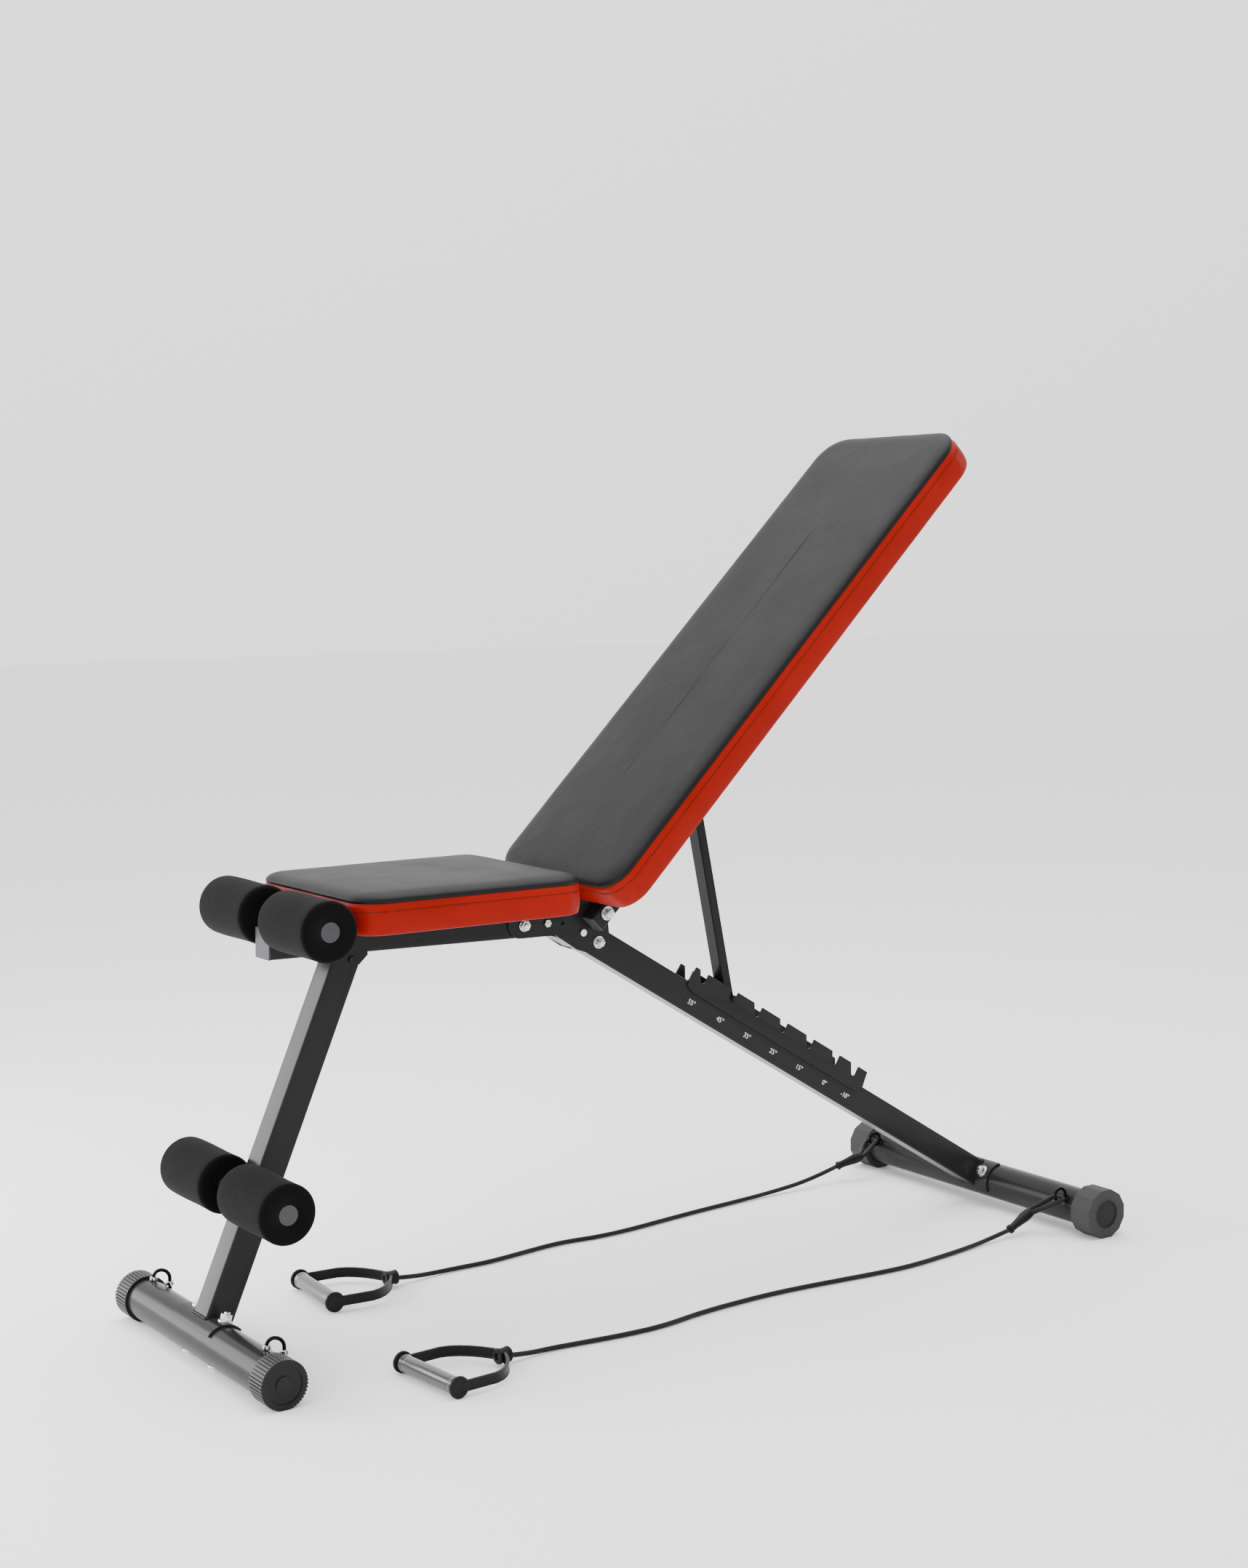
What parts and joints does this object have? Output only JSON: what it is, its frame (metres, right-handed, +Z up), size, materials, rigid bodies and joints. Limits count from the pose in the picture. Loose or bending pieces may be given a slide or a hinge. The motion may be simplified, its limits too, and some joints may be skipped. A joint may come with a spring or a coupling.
{
  "type": "decline sit up bench",
  "caption": "Folding decline sit up bench with a reclining back pad on a notched rack, foam leg rollers and corded pull handles.",
  "frame": {"origin": "on the floor under the middle of the bench, measured without the loose cords and handles", "axes": "+Z up, +X from the leg rollers to the back foot, +Y across the bench away from the pictured side"},
  "size_m": [1.4187, 0.604, 1.2163],
  "materials": {
    "black_frame": "semi gloss black paint",
    "zinc_steel": "bright zinc plate",
    "foot_rubber": "matte",
    "grey_plastic": "matte",
    "pad_board": "black stained plywood",
    "pad_cover": "charcoal coated cloth with an orange side band",
    "roller_foam": "matte closed cell foam",
    "cord_rubber": "smooth",
    "black_plastic": "satin",
    "grip_plastic": "pearl grey gloss",
    "label_film": "printed film with angle numbers"
  },
  "bodies": {
    "seat_frame": {"front_foot_tube": "black_frame", "front_cap_near": "foot_rubber", "front_cap_far": "foot_rubber", "front_eyelet_near": "black_frame", "front_eyelet_far": "black_frame", "front_foot_bolts": "zinc_steel", "front_saddle": "black_frame", "front_leg": "black_frame", "seat_tube": "black_frame", "seat_tube_end_cap": "grey_plastic", "leg_bracket": "black_frame", "leg_bracket_bolts": "zinc_steel", "upper_roller_bar": "black_frame", "upper_roller_plugs": "grey_plastic", "lower_roller_bar": "black_frame", "lower_roller_plugs": "grey_plastic", "seat_pad_supports": "black_frame", "seat_pad_board": "pad_board", "seat_pad_cover": "pad_cover", "hinge_plate_near": "black_frame", "hinge_plate_far": "black_frame", "hinge_web": "black_frame", "seat_tube_bolts": "zinc_steel", "fold_bolt": "zinc_steel", "backrest_studs": "zinc_steel"},
    "rear_frame": {"back_beam": "black_frame", "rack_plate_near": "black_frame", "rack_plate_far": "black_frame", "angle_label": "label_film", "back_foot_bolts": "zinc_steel", "back_eyelet_near": "black_frame", "back_eyelet_far": "black_frame", "back_foot_tube": "black_frame", "back_cap_near": "foot_rubber", "back_cap_far": "foot_rubber", "back_saddle": "black_frame", "cord_near": "cord_rubber", "cord_far": "cord_rubber", "cord_clip_near": "black_plastic", "cord_clip_far": "black_plastic", "handle_grip_near": "grip_plastic", "handle_grip_far": "grip_plastic", "handle_yoke_near": "black_plastic", "handle_yoke_far": "black_plastic"},
    "lock_pin": {"lock_pin": "zinc_steel"},
    "backrest": {"back_rail_near": "black_frame", "back_rail_far": "black_frame", "back_rail_caps": "grey_plastic", "back_crossbars": "black_frame", "back_pad_board": "pad_board", "back_pad_cover": "pad_cover", "strut_pivot_bolt": "zinc_steel", "strut_spacers": "zinc_steel"},
    "strut": {"strut": "black_frame", "strut_pin": "zinc_steel"},
    "foam_upper_near": {"foam_upper_near": "roller_foam"},
    "foam_upper_far": {"foam_upper_far": "roller_foam"},
    "foam_lower_near": {"foam_lower_near": "roller_foam"},
    "foam_lower_far": {"foam_lower_far": "roller_foam"}
  },
  "joints": [
    {"name": "fold", "type": "hinge", "parent": "seat_frame", "child": "rear_frame", "pos_m": [-0.0746, 0, 0.4945], "axis": [0, 1, 0], "range_deg": [0, 100], "deforming": ["cord_near", "cord_far", "cord_clip_near", "cord_clip_far", "handle_grip_near", "handle_grip_far", "handle_yoke_near", "handle_yoke_far"]},
    {"name": "lock_pull", "type": "slide", "parent": "seat_frame", "child": "lock_pin", "axis": [0, 1, 0], "range_m": [0, 0.055]},
    {"name": "recline", "type": "hinge", "parent": "seat_frame", "child": "backrest", "pos_m": [-0.0774, 0, 0.5395], "axis": [0, 1, 0], "range_deg": [0, 55]},
    {"name": "strut_swing", "type": "hinge", "parent": "backrest", "child": "strut", "pos_m": [0.09938, 0, 0.71628], "axis": [0, 1, 0], "range_deg": [-90, 0]},
    {"name": "spin_upper_near", "type": "hinge", "parent": "seat_frame", "child": "foam_upper_near", "pos_m": [-0.5647, 0, 0.5721], "axis": [0, 1, 0], "continuous": true},
    {"name": "spin_upper_far", "type": "hinge", "parent": "seat_frame", "child": "foam_upper_far", "pos_m": [-0.5647, 0, 0.5721], "axis": [0, 1, 0], "continuous": true},
    {"name": "spin_lower_near", "type": "hinge", "parent": "seat_frame", "child": "foam_lower_near", "pos_m": [-0.63156, 0, 0.22033], "axis": [0, 1, 0], "continuous": true},
    {"name": "spin_lower_far", "type": "hinge", "parent": "seat_frame", "child": "foam_lower_far", "pos_m": [-0.63156, 0, 0.22033], "axis": [0, 1, 0], "continuous": true}
  ],
  "couplings": [
    {"joint": "strut_swing", "follows": "recline", "ratio": -1.5607}
  ]
}
